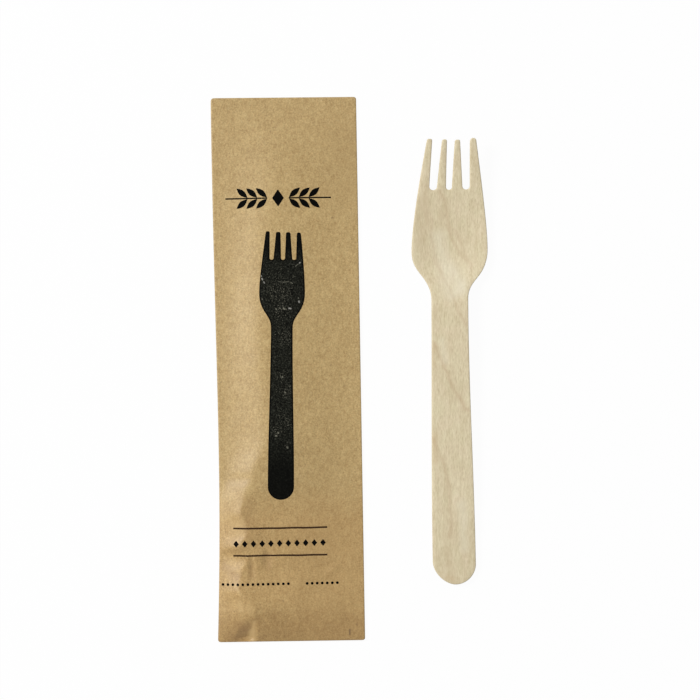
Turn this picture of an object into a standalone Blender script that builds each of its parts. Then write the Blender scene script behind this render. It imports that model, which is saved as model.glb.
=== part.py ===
"""A sealed kraft paper sleeve with a wooden fork in it, and a loose fork of the same kind beside it.

Metres, +Z up. Both pieces lie on the table with their long axes near +Y.
"""
from collections import namedtuple
from math import atan2, cos, exp, hypot, pi, radians, sin, tan

import bmesh
import bpy
from mathutils import Matrix, Vector
from mathutils.geometry import delaunay_2d_cdt, interpolate_bezier

# Every length of a fork outline is measured back from its tips. Slots and tines go from right to left.
ForkShape = namedtuple(
    "ForkShape",
    "length handle_width neck_width neck_start head_width widest_at tip_span slot_depth "
    "slot_roots slot_mouths root_centres mouth_centres tip_drops tip_rounds shoulder_pulls end_point",
)

# The fork, stamped from birch veneer
FORK = ForkShape(
    length=0.1592,
    handle_width=0.0154,
    neck_width=0.0131,
    neck_start=0.0572,
    head_width=0.0272,
    widest_at=0.0398,
    tip_span=0.0174,
    slot_depth=0.0181,
    slot_roots=(0.0026, 0.0021, 0.0027),
    slot_mouths=(0.0035, 0.0028, 0.0035),
    root_centres=(0.0057, -0.0005, -0.0062),
    mouth_centres=(0.0048, -0.0002, -0.0051),
    tip_drops=(0.0, 0.0005, 0.0003, 0.0),
    tip_rounds=(0.0011, 0.0007, 0.0007, 0.0007),
    shoulder_pulls=(0.43, 0.50),
    end_point=1.08,
)
END_LEAN = 0.09             # the handle's end runs lower on its right
END_REACH = 0.024           # how far up the lean fades out
VENEER = 0.0018
EDGE_ROUND = 0.0003
HEAD_DRIFT = 0.0021         # the tips spring this far to one side of the handle's line
DRIFT_FROM = 0.106          # from the tips back to where the spring begins
DRIFT_POWER = 2.3
SHOULDER_SHIFT = 0.0004     # the shoulders sit a little to the right of the head's middle
SHOULDER_AT = 0.0487        # from the tips
SHOULDER_REACH = 0.0035

# How the press bends the fork: the handle's end and the bowl touch the table
NECK_LIFT = 0.0028
NECK_CREST_AT = 0.062       # from the tips
BOWL_AT = 0.041             # from the tips
TIP_LIFT = 0.0053
TIP_SLOPE = 0.16
BOWL_DISH = 0.0008          # rise of the bowl's rims over its middle
DISH_REACH = 0.030          # how far along the head the dish fades out

# The sleeve, a glued paper tube pressed flat, with its top sealed and its bottom folded under
SLEEVE_LENGTH = 0.1947
TOP_WIDTH = 0.0521
BOTTOM_WIDTH = 0.0527
TOP_SKEW = 0.0003           # the top edge runs up to the left by this much
WAIST = 0.0012              # the left fold is drawn in where the sleeve bulges
WAIST_POWER = 1.87          # sets how near the bottom the waist lies
PLY = 0.00012               # step where paper lies on paper
RIM = 0.0005                # thickness along the folded and sealed edges
SEAM_WIDTH = 0.012
SEAM_SHIFT = 0.004
BOTTOM_FLAP = 0.013
FLAP_RAMP = 0.0002
CORNER_ROUNDS = (0.0009, 0.0011, 0.0010, 0.0009)    # top right, top left, bottom left, bottom right

# The fork inside it, head down, which lifts the front panel
INNER_TIP_GAP = 0.008       # from the sleeve's bottom edge to the inner fork's tips
TIP_CREST = 0.0043          # rise of the paper over the tips, pressed down by the sleeve
TIP_CREST_AT = 0.0140       # from the sleeve's bottom edge
DIP = 0.0035                # lowest rise of the paper over the bowl
DIP_AT = 0.0300
CREST_ROUND = 0.0006

# Where the front's crest lies across the sleeve, by distance up from the bottom edge: beside the left
# shoulder of the inner fork's head, then over the left side of its handle
CREST_LINE = (
    (0.0, -0.0130), (0.0162, -0.0163), (0.0262, -0.0173), (0.0462, -0.0172), (0.0563, -0.0113),
    (0.0650, -0.0062), (0.1065, -0.0081), (0.1516, -0.0042), (SLEEVE_LENGTH, -0.0015),
)
HEAD_ENDS = (0.050, 0.058)  # between these the section over the head gives way to that over the handle

# Sections of the front from fold to crest: slope at the fold, slope at the crest, power of the place
HEAD_LEFT = (0.8, 0.6, 1.0)
HEAD_RIGHT = (0.6, 1.9, 1.0)
HANDLE_LEFT = (0.9, 0.0, 1.5)
HANDLE_RIGHT = (1.1, 0.5, 1.45)

# Where the pieces lie, seen from above
SLEEVE_PLACE = (-0.02247, -0.0070)
SLEEVE_TURN = radians(0.87)
FORK_PLACE = (0.0357, -0.0044)
FORK_TURN = radians(1.25)

# Print on the front, in the sleeve's own frame
PRINT_FORK = ForkShape(
    length=0.0955,
    handle_width=0.0093,
    neck_width=0.0081,
    neck_start=0.0345,
    head_width=0.0163,
    widest_at=0.0219,
    tip_span=0.0127,
    slot_depth=0.0102,
    slot_roots=(0.0014, 0.0014, 0.0014),
    slot_mouths=(0.0025, 0.0025, 0.0025),
    root_centres=(0.0041, 0.0, -0.0041),
    mouth_centres=(0.0040, 0.0, -0.0040),
    tip_drops=(0.0, 0.0, 0.0, 0.0),
    tip_rounds=(0.0005, 0.0005, 0.0005, 0.0005),
    shoulder_pulls=(0.40, 0.58),
    end_point=1.0,
)
PRINT_LEAN = radians(-1.2)
PRINT_END = (-0.0030, -0.04655)     # the printed fork's handle end
RULES_AT = ((-0.0034, -0.0567), (-0.0035, -0.0665))
RULE_SIZE = (0.0336, 0.0005)
SPRIG_AT = (-0.0024, 0.0613)
SPRIG_LENGTH = 0.0378
STEM_THICKNESS = 0.0005
LEAF_SIZE = (0.0042, 0.0016)
LEAF_PITCH = 0.0030
LEAF_TURN = radians(42.0)
CENTRE_LOZENGE = (0.0036, 0.0052)
LOZENGES_AT = (-0.0037, -0.0621)
LOZENGE_SIZE = (0.0020, 0.0025)
LOZENGE_PITCH = 0.0031
LOZENGE_ROW = 0.0322
DOTS_AT = ((-0.0125, -0.0766), (0.0113, -0.0766))
DOT_ROWS = (0.0245, 0.0125)
DOT_RADIUS = 0.0005
DOT_PITCH = 0.0018

# Curves of a fork's outline, as shares of the runs that they join
LONG_PULL = 1 / 3            # for the handle's sides and the outer tines
BELLY_PULL = 0.22           # how long the head keeps its full width
TINE_FLARE = 1.3            # lean of the outer tines over a straight taper
FULL_ROUND = 0.98           # a slot's end is all but a half circle

# Fineness of the meshes
CURVE_STEPS = 8
CORNER_STEPS = 3
FORK_CUT = 0.004            # spacing of the cross cuts that let the fork bend
LENGTHWISE_CUTS = (-0.66, -0.33, 0, 0.33, 0.66)     # shares of half the head's width
PAPER_CUT = 0.003           # spacing of the points on the front panel
CLEAR_OF_LINES = 0.0007     # how near such a point may come to an edge or a printed line


def eased(share):
    share = min(max(share, 0.0), 1.0)
    return share * share * (3 - 2 * share)


def smooth_line(knots, place):
    """Height at a place on the smooth line through knots of (place, height, slope)."""
    place = min(max(place, knots[0][0]), knots[-1][0])
    for (start, low, low_slope), (end, high, high_slope) in zip(knots, knots[1:]):
        if place <= end:
            break
    span = end - start
    t = (place - start) / span
    blend = t * t * (3 - 2 * t)
    return (
        low + (high - low) * blend
        + span * low_slope * t * (1 - t) ** 2
        - span * high_slope * t * t * (1 - t)
    )


def bezier(start, start_handle, end_handle, end, steps):
    """Points of one curve, without its last point."""
    corners = [Vector((x, y, 0)) for x, y in (start, start_handle, end_handle, end)]
    points = interpolate_bezier(*corners, steps + 1)
    return [(p.x, p.y) for p in points[:-1]]


def fillet(before, corner, after, radius, steps):
    """Arc of the given radius that rounds a corner between two straight runs."""
    corner = Vector(corner)
    back = (Vector(before) - corner).normalized()
    ahead = (Vector(after) - corner).normalized()
    half = back.angle(ahead) / 2
    reach = radius / tan(half)
    centre = corner + (back + ahead).normalized() * (radius / sin(half))
    first = corner + back * reach - centre
    turn = first.angle_signed(corner + ahead * reach - centre)
    start = atan2(first.y, first.x)
    angles = [start - turn * i / steps for i in range(steps + 1)]
    return [(centre.x + radius * cos(a), centre.y + radius * sin(a)) for a in angles]


def side_curve(shape):
    """The fork's right side from its rounded end up to just short of the tips."""
    end_radius = shape.handle_width / 2
    neck = shape.neck_width / 2
    head = shape.head_width / 2
    tip = shape.tip_span / 2
    neck_y = shape.length - shape.neck_start
    widest_y = shape.length - shape.widest_at
    handle_run = (neck_y - end_radius) * LONG_PULL
    shoulder_run, cheek_run = [(widest_y - neck_y) * pull for pull in shape.shoulder_pulls]
    belly_run = shape.widest_at * BELLY_PULL
    flare = (head - tip) / shape.widest_at * TINE_FLARE
    tine_run = shape.widest_at * LONG_PULL
    tip_back = 2 * shape.tip_rounds[0]
    top = (tip + flare * tip_back, shape.length - tip_back)
    handle = bezier(
        (end_radius, end_radius), (end_radius, end_radius + handle_run),
        (neck, neck_y - handle_run), (neck, neck_y), CURVE_STEPS,
    )
    shoulder = bezier(
        (neck, neck_y), (neck, neck_y + shoulder_run),
        (head, widest_y - cheek_run), (head, widest_y), CURVE_STEPS,
    )
    tine_side = bezier(
        (head, widest_y), (head, widest_y + belly_run),
        (tip + flare * tine_run, shape.length - tine_run), top, CURVE_STEPS,
    )
    return handle + shoulder + tine_side + [top]


def tine_ends(shape, side_top):
    """The four rounded tips and the three slots between them, from right to left."""
    tip = shape.tip_span / 2
    root_y = shape.length - shape.slot_depth
    tops = [shape.length - drop for drop in shape.tip_drops]
    rounds = shape.tip_rounds
    corners = [(side_top, None), ((tip, tops[0]), rounds[0])]
    slots = zip(shape.root_centres, shape.slot_roots, shape.mouth_centres, shape.slot_mouths)
    for i, (root, root_width, mouth, mouth_width) in enumerate(slots):
        root_round = root_width / 2 * FULL_ROUND
        corners.append(((mouth + mouth_width / 2, tops[i]), rounds[i]))
        corners.append(((root + root_width / 2, root_y), root_round))
        corners.append(((root - root_width / 2, root_y), root_round))
        corners.append(((mouth - mouth_width / 2, tops[i + 1]), rounds[i + 1]))
    corners.append(((-tip, tops[-1]), rounds[-1]))
    corners.append(((-side_top[0], side_top[1]), None))
    points = []
    for (before, _), (corner, radius), (after, _) in zip(corners, corners[1:], corners[2:]):
        points += fillet(before, corner, after, radius, CORNER_STEPS)
    return points


def fork_outline(shape):
    """Closed outline, anticlockwise, with the handle's end at the origin and the tips towards +Y."""
    right = side_curve(shape)
    left = [(-x, y) for x, y in reversed(right)]
    radius = shape.handle_width / 2
    steps = 2 * CURVE_STEPS
    end = []
    for i in range(1, steps):
        across, down = cos(pi + pi * i / steps), sin(pi * i / steps)
        x = radius * abs(across) ** shape.end_point * (1 if across > 0 else -1)
        end.append((x, radius * (1 - down ** shape.end_point)))
    return right + tine_ends(shape, right[-1]) + left + end


def fork_lift(x, y):
    """Height that the press gives the veneer's underside."""
    neck_y = FORK.length - NECK_CREST_AT
    bowl_y = FORK.length - BOWL_AT
    along = smooth_line(
        [(0, 0, NECK_LIFT / neck_y), (neck_y, NECK_LIFT, 0), (bowl_y, 0, 0),
         (FORK.length, TIP_LIFT, TIP_SLOPE)],
        y,
    )
    fade = eased(1 - abs(y - bowl_y) / DISH_REACH)
    return along + BOWL_DISH * fade * (2 * x / FORK.head_width) ** 2


def head_drift(y):
    """Sideways spring of the head from the handle's line."""
    sprung = max(0.0, y - FORK.length + DRIFT_FROM) / DRIFT_FROM
    near = (y - FORK.length + SHOULDER_AT) / SHOULDER_REACH
    return HEAD_DRIFT * sprung ** DRIFT_POWER + SHOULDER_SHIFT * exp(-near * near)


def material(name, colour, roughness):
    made = bpy.data.materials.new(name)
    made.use_nodes = True
    shader = made.node_tree.nodes["Principled BSDF"]
    shader.inputs["Base Color"].default_value = (*colour, 1.0)
    shader.inputs["Roughness"].default_value = roughness
    return made


def add_object(name, bm, materials):
    mesh = bpy.data.meshes.new(name)
    bm.to_mesh(mesh)
    bm.free()
    for item in materials:
        mesh.materials.append(item)
    mesh.shade_smooth()
    mesh.set_sharp_from_angle(angle=radians(35))
    made = bpy.data.objects.new(name, mesh)
    bpy.context.scene.collection.objects.link(made)
    return made


def wooden_fork(birch):
    """Stamps the outline out of flat veneer, eases its edges, and presses it to shape."""
    bm = bmesh.new()
    leant = [(x, y - END_LEAN * x * eased(1 - y / END_REACH)) for x, y in fork_outline(FORK)]
    blank = bm.faces.new([bm.verts.new((x, y, 0)) for x, y in leant])
    raised = bmesh.ops.extrude_face_region(bm, geom=[blank])["geom"]
    bmesh.ops.translate(
        bm, verts=[g for g in raised if isinstance(g, bmesh.types.BMVert)], vec=(0, 0, VENEER)
    )
    bmesh.ops.recalc_face_normals(bm, faces=bm.faces)
    rims = [e for e in bm.edges if abs(e.verts[0].co.z - e.verts[1].co.z) < VENEER / 2]
    bmesh.ops.bevel(
        bm, geom=rims, offset=EDGE_ROUND, offset_type="OFFSET", segments=1, profile=0.5,
        affect="EDGES", clamp_overlap=True, material=-1,
    )
    cuts = int(FORK.length / FORK_CUT)
    for i in range(1, cuts):
        bmesh.ops.bisect_plane(
            bm, geom=bm.verts[:] + bm.edges[:] + bm.faces[:], dist=1e-6,
            plane_co=(0, i * FORK.length / cuts, 0), plane_no=(0, 1, 0),
        )
    for share in LENGTHWISE_CUTS:
        bmesh.ops.bisect_plane(
            bm, geom=bm.verts[:] + bm.edges[:] + bm.faces[:], dist=1e-6,
            plane_co=(share * FORK.head_width / 2, 0, 0), plane_no=(1, 0, 0),
        )
    bmesh.ops.triangulate(bm, faces=bm.faces, quad_method="BEAUTY", ngon_method="BEAUTY")
    for vert in bm.verts:
        x, y, z = vert.co
        vert.co = (x + head_drift(y), y, z + fork_lift(x, y))
    middle = Matrix.Translation((0, -FORK.length / 2, 0))
    bmesh.ops.transform(bm, matrix=middle, verts=bm.verts)
    fork = add_object("wooden_fork", bm, [birch])
    fork.location = (*FORK_PLACE, 0)
    fork.rotation_euler = (0, 0, FORK_TURN)
    return fork


def fold_places(up):
    """Where the left and right folds lie at a height up from the sleeve's bottom edge."""
    down = 1 - min(max(up / SLEEVE_LENGTH, 0), 1)
    half = (TOP_WIDTH + (BOTTOM_WIDTH - TOP_WIDTH) * down) / 2
    return -half + WAIST * sin(pi * down ** WAIST_POWER), half


def crown_line():
    """Knots of the front panel's height over the inner fork, from the bottom edge up."""
    neck_at = INNER_TIP_GAP + NECK_CREST_AT
    end_at = INNER_TIP_GAP + FORK.length
    tip_rise = TIP_CREST / TIP_CREST_AT
    end_fall = -VENEER / (SLEEVE_LENGTH - end_at)
    return [
        (0, 0, tip_rise), (TIP_CREST_AT, TIP_CREST, 0), (DIP_AT, DIP, 0),
        (neck_at, NECK_LIFT + VENEER, 0), (end_at, VENEER, end_fall), (SLEEVE_LENGTH, 0, 0),
    ]


def crest_place(up):
    """Where the crest lies across the sleeve, on straight runs between the knots of its line."""
    for (start, before), (end, after) in zip(CREST_LINE, CREST_LINE[1:]):
        if up <= end:
            break
    return before + (after - before) * min(max((up - start) / (end - start), 0), 1)


def flank(share, fold_slope, crest_slope, power):
    """Rise of one side of the front, from 0 at the fold to 1 at the crest."""
    t = min(max(share, 0), 1) ** power
    return t * t * (3 - 2 * t) + fold_slope * t * (1 - t) ** 2 - crest_slope * t * t * (1 - t)


def front_panel():
    """Height of the front panel: a tent over the fork, falling to the folds on both sides."""
    crown = crown_line()

    def height(x, y):
        up = y + SLEEVE_LENGTH / 2
        left, right = fold_places(up)
        place = crest_place(up)
        from_left = (x - left) / (place - left)
        from_right = (right - x) / (right - place)
        handle = eased((up - HEAD_ENDS[0]) / (HEAD_ENDS[1] - HEAD_ENDS[0]))
        crest = smooth_line(crown, up)
        left_rise = crest * (
            flank(from_left, *HEAD_LEFT) * (1 - handle) + flank(from_left, *HANDLE_LEFT) * handle
        )
        right_rise = crest * (
            flank(from_right, *HEAD_RIGHT) * (1 - handle) + flank(from_right, *HANDLE_RIGHT) * handle
        )
        soft = min(CREST_ROUND, 0.2 * crest)
        return PLY + RIM + (left_rise + right_rise - hypot(left_rise - right_rise, soft)) / 2

    return height


def back_height(x, y):
    """Height of the back panel: the glued seam and the bottom flap touch the table."""
    beside_seam = abs(x - SEAM_SHIFT) - SEAM_WIDTH / 2
    above_flap = y + SLEEVE_LENGTH / 2 - BOTTOM_FLAP
    past = max(0.0, min(beside_seam, above_flap)) / FLAP_RAMP
    return PLY * min(past, 1.0)


def sleeve_outline():
    """Closed outline of the flat sleeve, anticlockwise from its bottom right corner."""
    half = SLEEVE_LENGTH / 2
    steps = round(SLEEVE_LENGTH / PAPER_CUT)
    heights = [SLEEVE_LENGTH * i / steps for i in range(1, steps)]
    left_low, right_low = fold_places(0)
    left_high, right_high = fold_places(SLEEVE_LENGTH)
    right = [(fold_places(up)[1], up - half) for up in heights]
    left = [(fold_places(up)[0], up - half) for up in reversed(heights)]
    across = round(TOP_WIDTH / PAPER_CUT)
    top = [(right_high + (left_high - right_high) * i / across, half + TOP_SKEW * (i / across - 0.5))
           for i in range(1, across)]
    bottom = [(left_low + (right_low - left_low) * i / across, -half) for i in range(1, across)]
    skew = TOP_SKEW / 2
    corners = [(right_high, half - skew), (left_high, half + skew), (left_low, -half), (right_low, -half)]
    runs = [right, top, left, bottom]
    points = []
    for i, (corner, radius) in enumerate(zip(corners, CORNER_ROUNDS)):
        following = runs[(i + 1) % len(runs)]
        points += runs[i] + fillet(runs[i][-1], corner, following[0], radius, CORNER_STEPS)
    return points


def placed(points, centre, turn):
    return [
        (centre[0] + x * cos(turn) - y * sin(turn), centre[1] + x * sin(turn) + y * cos(turn))
        for x, y in points
    ]


def bar(centre, length, thickness, turn=0.0):
    steps = max(1, round(length / PAPER_CUT))
    along = [length * (i / steps - 0.5) for i in range(steps + 1)]
    under = [(x, -thickness / 2) for x in along]
    over = [(x, thickness / 2) for x in reversed(along)]
    return placed(under + over, centre, turn)


def lozenge(centre, size):
    half_x, half_y = size[0] / 2, size[1] / 2
    return placed([(half_x, 0), (0, half_y), (-half_x, 0), (0, -half_y)], centre, 0)


def dot(centre):
    angles = [pi * i / 3 for i in range(6)]
    return placed([(DOT_RADIUS * cos(a), DOT_RADIUS * sin(a)) for a in angles], centre, 0)


def leaf(stalk, turn):
    """Pointed leaf that starts at its stalk."""
    length, width = LEAF_SIZE
    steps = 4
    along = [i / steps for i in range(steps + 1)]
    under = [(length * t, -width / 2 * sin(pi * t)) for t in along]
    over = [(length * t, width / 2 * sin(pi * t)) for t in reversed(along[1:-1])]
    return placed(under + over, stalk, turn)


def sprig():
    """Ornament of a lozenge between two leafy stems."""
    shapes = [lozenge(SPRIG_AT, CENTRE_LOZENGE)]
    stem = (SPRIG_LENGTH - CENTRE_LOZENGE[0]) / 2 - LEAF_PITCH / 2
    start = CENTRE_LOZENGE[0] / 2 + LEAF_PITCH / 2
    leaves = int((stem - LEAF_SIZE[0]) / LEAF_PITCH) + 1
    for side in (-1, 1):
        facing = pi if side < 0 else 0.0
        shapes.append(bar((SPRIG_AT[0] + side * (start + stem / 2), SPRIG_AT[1]), stem, STEM_THICKNESS))
        for i in range(leaves):
            out = start + i * LEAF_PITCH
            for rise in (-1, 1):
                stalk = (SPRIG_AT[0] + side * out, SPRIG_AT[1] + rise * STEM_THICKNESS)
                shapes.append(leaf(stalk, facing + side * rise * LEAF_TURN))
    return shapes


def row_places(centre, length, pitch):
    count = int(length / pitch) + 1
    return [(centre[0] + (i - (count - 1) / 2) * pitch, centre[1]) for i in range(count)]


def print_shapes():
    """Every closed outline that is filled with ink."""
    shapes = [placed(fork_outline(PRINT_FORK), PRINT_END, PRINT_LEAN)]
    shapes += [bar(place, *RULE_SIZE) for place in RULES_AT]
    shapes += sprig()
    shapes += [lozenge(place, LOZENGE_SIZE) for place in row_places(LOZENGES_AT, LOZENGE_ROW, LOZENGE_PITCH)]
    for centre, length in zip(DOTS_AT, DOT_ROWS):
        shapes += [dot(place) for place in row_places(centre, length, DOT_PITCH)]
    return shapes


def clear_points(spacing, lines):
    """Points on a regular grid over the sleeve that keep clear of every line's points."""
    columns = round(TOP_WIDTH / spacing)
    rows = round(SLEEVE_LENGTH / spacing)
    taken = {}
    for x, y in lines:
        taken.setdefault((round(x / spacing), round(y / spacing)), []).append((x, y))
    points = []
    for row in range(1, rows):
        up = SLEEVE_LENGTH * row / rows
        left, right = fold_places(up)
        for column in range(1, columns):
            x, y = left + (right - left) * column / columns, up - SLEEVE_LENGTH / 2
            cell = (round(x / spacing), round(y / spacing))
            near = [p for i in (-1, 0, 1) for j in (-1, 0, 1)
                    for p in taken.get((cell[0] + i, cell[1] + j), [])]
            if all(hypot(x - px, y - py) > CLEAR_OF_LINES for px, py in near):
                points.append((x, y))
    return points


def panel(bm, outline, shapes, points, height, front):
    """Fills the outline with triangles that follow the shapes, inked on the front, and returns its rim."""
    flat = outline + [p for shape in shapes for p in shape] + points
    loops = [list(range(len(outline)))]
    for shape in shapes:
        first = loops[-1][-1] + 1
        loops.append(list(range(first, first + len(shape))))
    coords, _, faces, sources, _, owners = delaunay_2d_cdt(
        [Vector(p) for p in flat], [], loops, 1, 1e-7
    )
    verts = [bm.verts.new((x, y, height(x, y))) for x, y in coords]
    rim = {i: vert for vert, source in zip(verts, sources) for i in source if i < len(outline)}
    for face, owner in zip(faces, owners):
        made = bm.faces.new([verts[i] for i in (face if front else reversed(face))])
        made.material_index = 1 if front and any(i > 0 for i in owner) else 0
    return [rim[i] for i in range(len(outline))]


def paper_sleeve(kraft, ink):
    """Front panel over back panel, joined round the rim, with what is inside left solid."""
    bm = bmesh.new()
    outline = sleeve_outline()
    shapes = print_shapes()
    lines = outline + [p for shape in shapes for p in shape]
    front = panel(bm, outline, shapes, clear_points(PAPER_CUT, lines), front_panel(), True)
    seam_middle = (SEAM_SHIFT, BOTTOM_FLAP / 2)
    seam_length = SLEEVE_LENGTH - BOTTOM_FLAP - 2 * FLAP_RAMP
    plies = [
        bar(seam_middle, seam_length, SEAM_WIDTH, pi / 2),
        bar(seam_middle, seam_length, SEAM_WIDTH + 2 * FLAP_RAMP, pi / 2),
    ]
    flap_y = BOTTOM_FLAP - SLEEVE_LENGTH / 2
    flap_length = BOTTOM_WIDTH - 2 * WAIST
    plies += [bar((0, flap_y + ramp), flap_length, FLAP_RAMP / 2) for ramp in (0, FLAP_RAMP)]
    back = panel(bm, outline, plies, [], back_height, False)
    count = len(outline)
    for i in range(count):
        j = (i + 1) % count
        bm.faces.new((back[i], back[j], front[j], front[i]))
    bmesh.ops.recalc_face_normals(bm, faces=bm.faces)
    bmesh.ops.triangulate(bm, faces=bm.faces)
    sleeve = add_object("paper_sleeve", bm, [kraft, ink])
    sleeve.location = (*SLEEVE_PLACE, 0)
    sleeve.rotation_euler = (0, 0, SLEEVE_TURN)
    return sleeve


def centre_on_table(pieces):
    """Moves the pieces together so that their joint box stands on the origin."""
    bpy.context.view_layer.update()
    corners = [piece.matrix_world @ v.co for piece in pieces for v in piece.data.vertices]
    low = Vector([min(c[i] for c in corners) for i in range(3)])
    high = Vector([max(c[i] for c in corners) for i in range(3)])
    shift = Vector(((low.x + high.x) / 2, (low.y + high.y) / 2, low.z))
    for piece in pieces:
        piece.location -= shift


def main():
    for item in list(bpy.context.scene.objects):
        bpy.data.objects.remove(item, do_unlink=True)
    kraft = material("kraft_paper", (0.51, 0.37, 0.18), 0.85)
    ink = material("print_ink", (0.015, 0.014, 0.011), 0.6)
    birch = material("birch_veneer", (0.65, 0.55, 0.37), 0.6)
    centre_on_table([paper_sleeve(kraft, ink), wooden_fork(birch)])


main()
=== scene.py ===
from math import atan2, cos, exp, hypot, pi, radians, sin, tan

import bmesh
import bpy
from mathutils import Matrix, Vector, noise
from mathutils.geometry import interpolate_bezier


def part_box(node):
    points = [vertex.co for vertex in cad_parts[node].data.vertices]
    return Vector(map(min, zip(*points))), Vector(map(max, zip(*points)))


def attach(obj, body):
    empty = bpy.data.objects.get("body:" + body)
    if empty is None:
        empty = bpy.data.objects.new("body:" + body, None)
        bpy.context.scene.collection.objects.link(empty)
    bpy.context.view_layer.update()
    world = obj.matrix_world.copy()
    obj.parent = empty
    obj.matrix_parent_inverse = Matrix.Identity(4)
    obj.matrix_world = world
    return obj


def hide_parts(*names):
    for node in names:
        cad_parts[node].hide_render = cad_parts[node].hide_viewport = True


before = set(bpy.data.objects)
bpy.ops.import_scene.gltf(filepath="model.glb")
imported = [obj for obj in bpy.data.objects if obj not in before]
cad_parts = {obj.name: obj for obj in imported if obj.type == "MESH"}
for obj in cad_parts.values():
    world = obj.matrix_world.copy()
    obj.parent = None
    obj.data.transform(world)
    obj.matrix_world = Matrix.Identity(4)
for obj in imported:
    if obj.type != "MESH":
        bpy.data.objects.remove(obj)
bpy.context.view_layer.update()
print("frame loaded:", ", ".join(sorted(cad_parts)))


# Small helpers for curves

def bezier(start, startHandle, endHandle, end, steps):
    corners = [Vector((x, y, 0)) for x, y in (start, startHandle, endHandle, end)]
    points = interpolate_bezier(*corners, steps + 1)
    return [(p.x, p.y) for p in points[:-1]]      # the next run starts at the last point


def fillet(before, corner, after, radius, steps):
    corner = Vector(corner)
    back = (Vector(before) - corner).normalized()
    ahead = (Vector(after) - corner).normalized()
    half = back.angle(ahead) / 2
    reach = radius / tan(half)
    centre = corner + (back + ahead).normalized() * (radius / sin(half))
    first = corner + back * reach - centre
    turn = first.angle_signed(corner + ahead * reach - centre)
    start = atan2(first.y, first.x)
    angles = [start - turn * i / steps for i in range(steps + 1)]
    return [(centre.x + radius * cos(a), centre.y + radius * sin(a)) for a in angles]


def between(low, high, share):
    return low + (high - low) * share


def eased(share):
    share = min(max(share, 0.0), 1.0)
    return share * share * (3 - 2 * share)


def lineThrough(knots, place):     # smooth value at a place, through knots of (place, value)
    if place <= knots[0][0]:
        return knots[0][1]
    for i in range(len(knots) - 1):
        if place <= knots[i + 1][0]:
            break
    else:
        return knots[-1][1]
    (a, low), (b, high) = knots[i], knots[i + 1]
    before = knots[max(i - 1, 0)]
    after = knots[min(i + 2, len(knots) - 1)]
    startSlope = (high - before[1]) / (b - before[0])
    endSlope = (after[1] - low) / (after[0] - a)
    t = (place - a) / (b - a)
    rise = (b - a) * (startSlope * t * (1 - t) ** 2 - endSlope * t * t * (1 - t))
    return between(low, high, t * t * (3 - 2 * t)) + rise


# The outline that the fork and its print share, lengths back from the tips

def sideCurve(shape, steps):
    endRadius = shape["handleWidth"] / 2
    neck, head, tip = shape["neckWidth"] / 2, shape["headWidth"] / 2, shape["tipSpan"] / 2
    neckY = shape["length"] - shape["neckStart"]
    widestY = shape["length"] - shape["widestAt"]
    handleRun = (neckY - endRadius) / 3
    shoulderRun, cheekRun = [(widestY - neckY) * pull for pull in shape["shoulderPulls"]]
    bellyRun = shape["widestAt"] * shape["bellyPull"]
    tineRun = shape["widestAt"] / 3
    flare = (head - tip) / shape["widestAt"] * shape["tineFlare"]
    tipBack = 2 * shape["tines"][0][1]
    top = (tip + flare * tipBack, shape["length"] - tipBack)
    handle = bezier((endRadius, endRadius), (endRadius, endRadius + handleRun),
                    (neck, neckY - handleRun), (neck, neckY), steps)
    shoulder = bezier((neck, neckY), (neck, neckY + shoulderRun),
                      (head, widestY - cheekRun), (head, widestY), steps)
    tine = bezier((head, widestY), (head, widestY + bellyRun),
                  (tip + flare * tineRun, shape["length"] - tineRun), top, steps)
    return handle + shoulder + tine + [top]


def tineEnds(shape, sideTop, steps):     # tips and slots, from the rightmost tine to the leftmost
    tip, length = shape["tipSpan"] / 2, shape["length"]
    rootY = length - shape["slotDepth"]
    tips = [(length - drop, tipRound) for drop, tipRound in shape["tines"]]
    corners = [(sideTop, None), ((tip, tips[0][0]), tips[0][1])]
    slots = zip(shape["rootCentres"], shape["mouthCentres"], shape["slotRoots"], shape["slotMouths"])
    for i, (root, mouth, rootWidth, mouthWidth) in enumerate(slots):
        rootRound = rootWidth / 2 * shape["fullRound"]
        corners.append(((mouth + mouthWidth / 2, tips[i][0]), tips[i][1]))
        corners.append(((root + rootWidth / 2, rootY), rootRound))
        corners.append(((root - rootWidth / 2, rootY), rootRound))
        corners.append(((mouth - mouthWidth / 2, tips[i + 1][0]), tips[i + 1][1]))
    corners += [((-tip, tips[3][0]), tips[3][1]), ((-sideTop[0], sideTop[1]), None)]
    points = []
    for (before, _), (corner, radius), (after, _) in zip(corners, corners[1:], corners[2:]):
        points += fillet(before, corner, after, radius, steps)
    return points


def forkOutline(shape, curveSteps, cornerSteps):
    right = sideCurve(shape, curveSteps)
    left = [(-x, y) for x, y in reversed(right)]
    radius = shape["handleWidth"] / 2
    steps = 2 * curveSteps
    angles = [pi + pi * i / steps for i in range(1, steps)]
    point = shape["endPoint"]
    end = [(radius * abs(cos(a)) ** point * (1 if cos(a) > 0 else -1), radius * (1 - abs(sin(a)) ** point))
           for a in angles]
    return right + tineEnds(shape, right[-1], cornerSteps) + left + end


# Node helpers

def newMaterial(name):
    made = bpy.data.materials.new(name)
    made.use_nodes = True
    return made, made.node_tree, made.node_tree.nodes["Principled BSDF"]


def addNode(tree, kind, inputs=None, **settings):
    made = tree.nodes.new(kind)
    for key, value in settings.items():
        setattr(made, key, value)
    for key, value in (inputs or {}).items():
        if isinstance(value, bpy.types.NodeSocket):
            tree.links.new(value, made.inputs[key])
        else:
            made.inputs[key].default_value = value
    return made


def objectPlaces(tree, scale=(1, 1, 1), turn=0.0):
    places = addNode(tree, "ShaderNodeTexCoord")
    mapped = addNode(tree, "ShaderNodeMapping", {
        "Vector": places.outputs["Object"], "Scale": scale, "Rotation": (0, 0, turn)})
    return mapped.outputs["Vector"]


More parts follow.
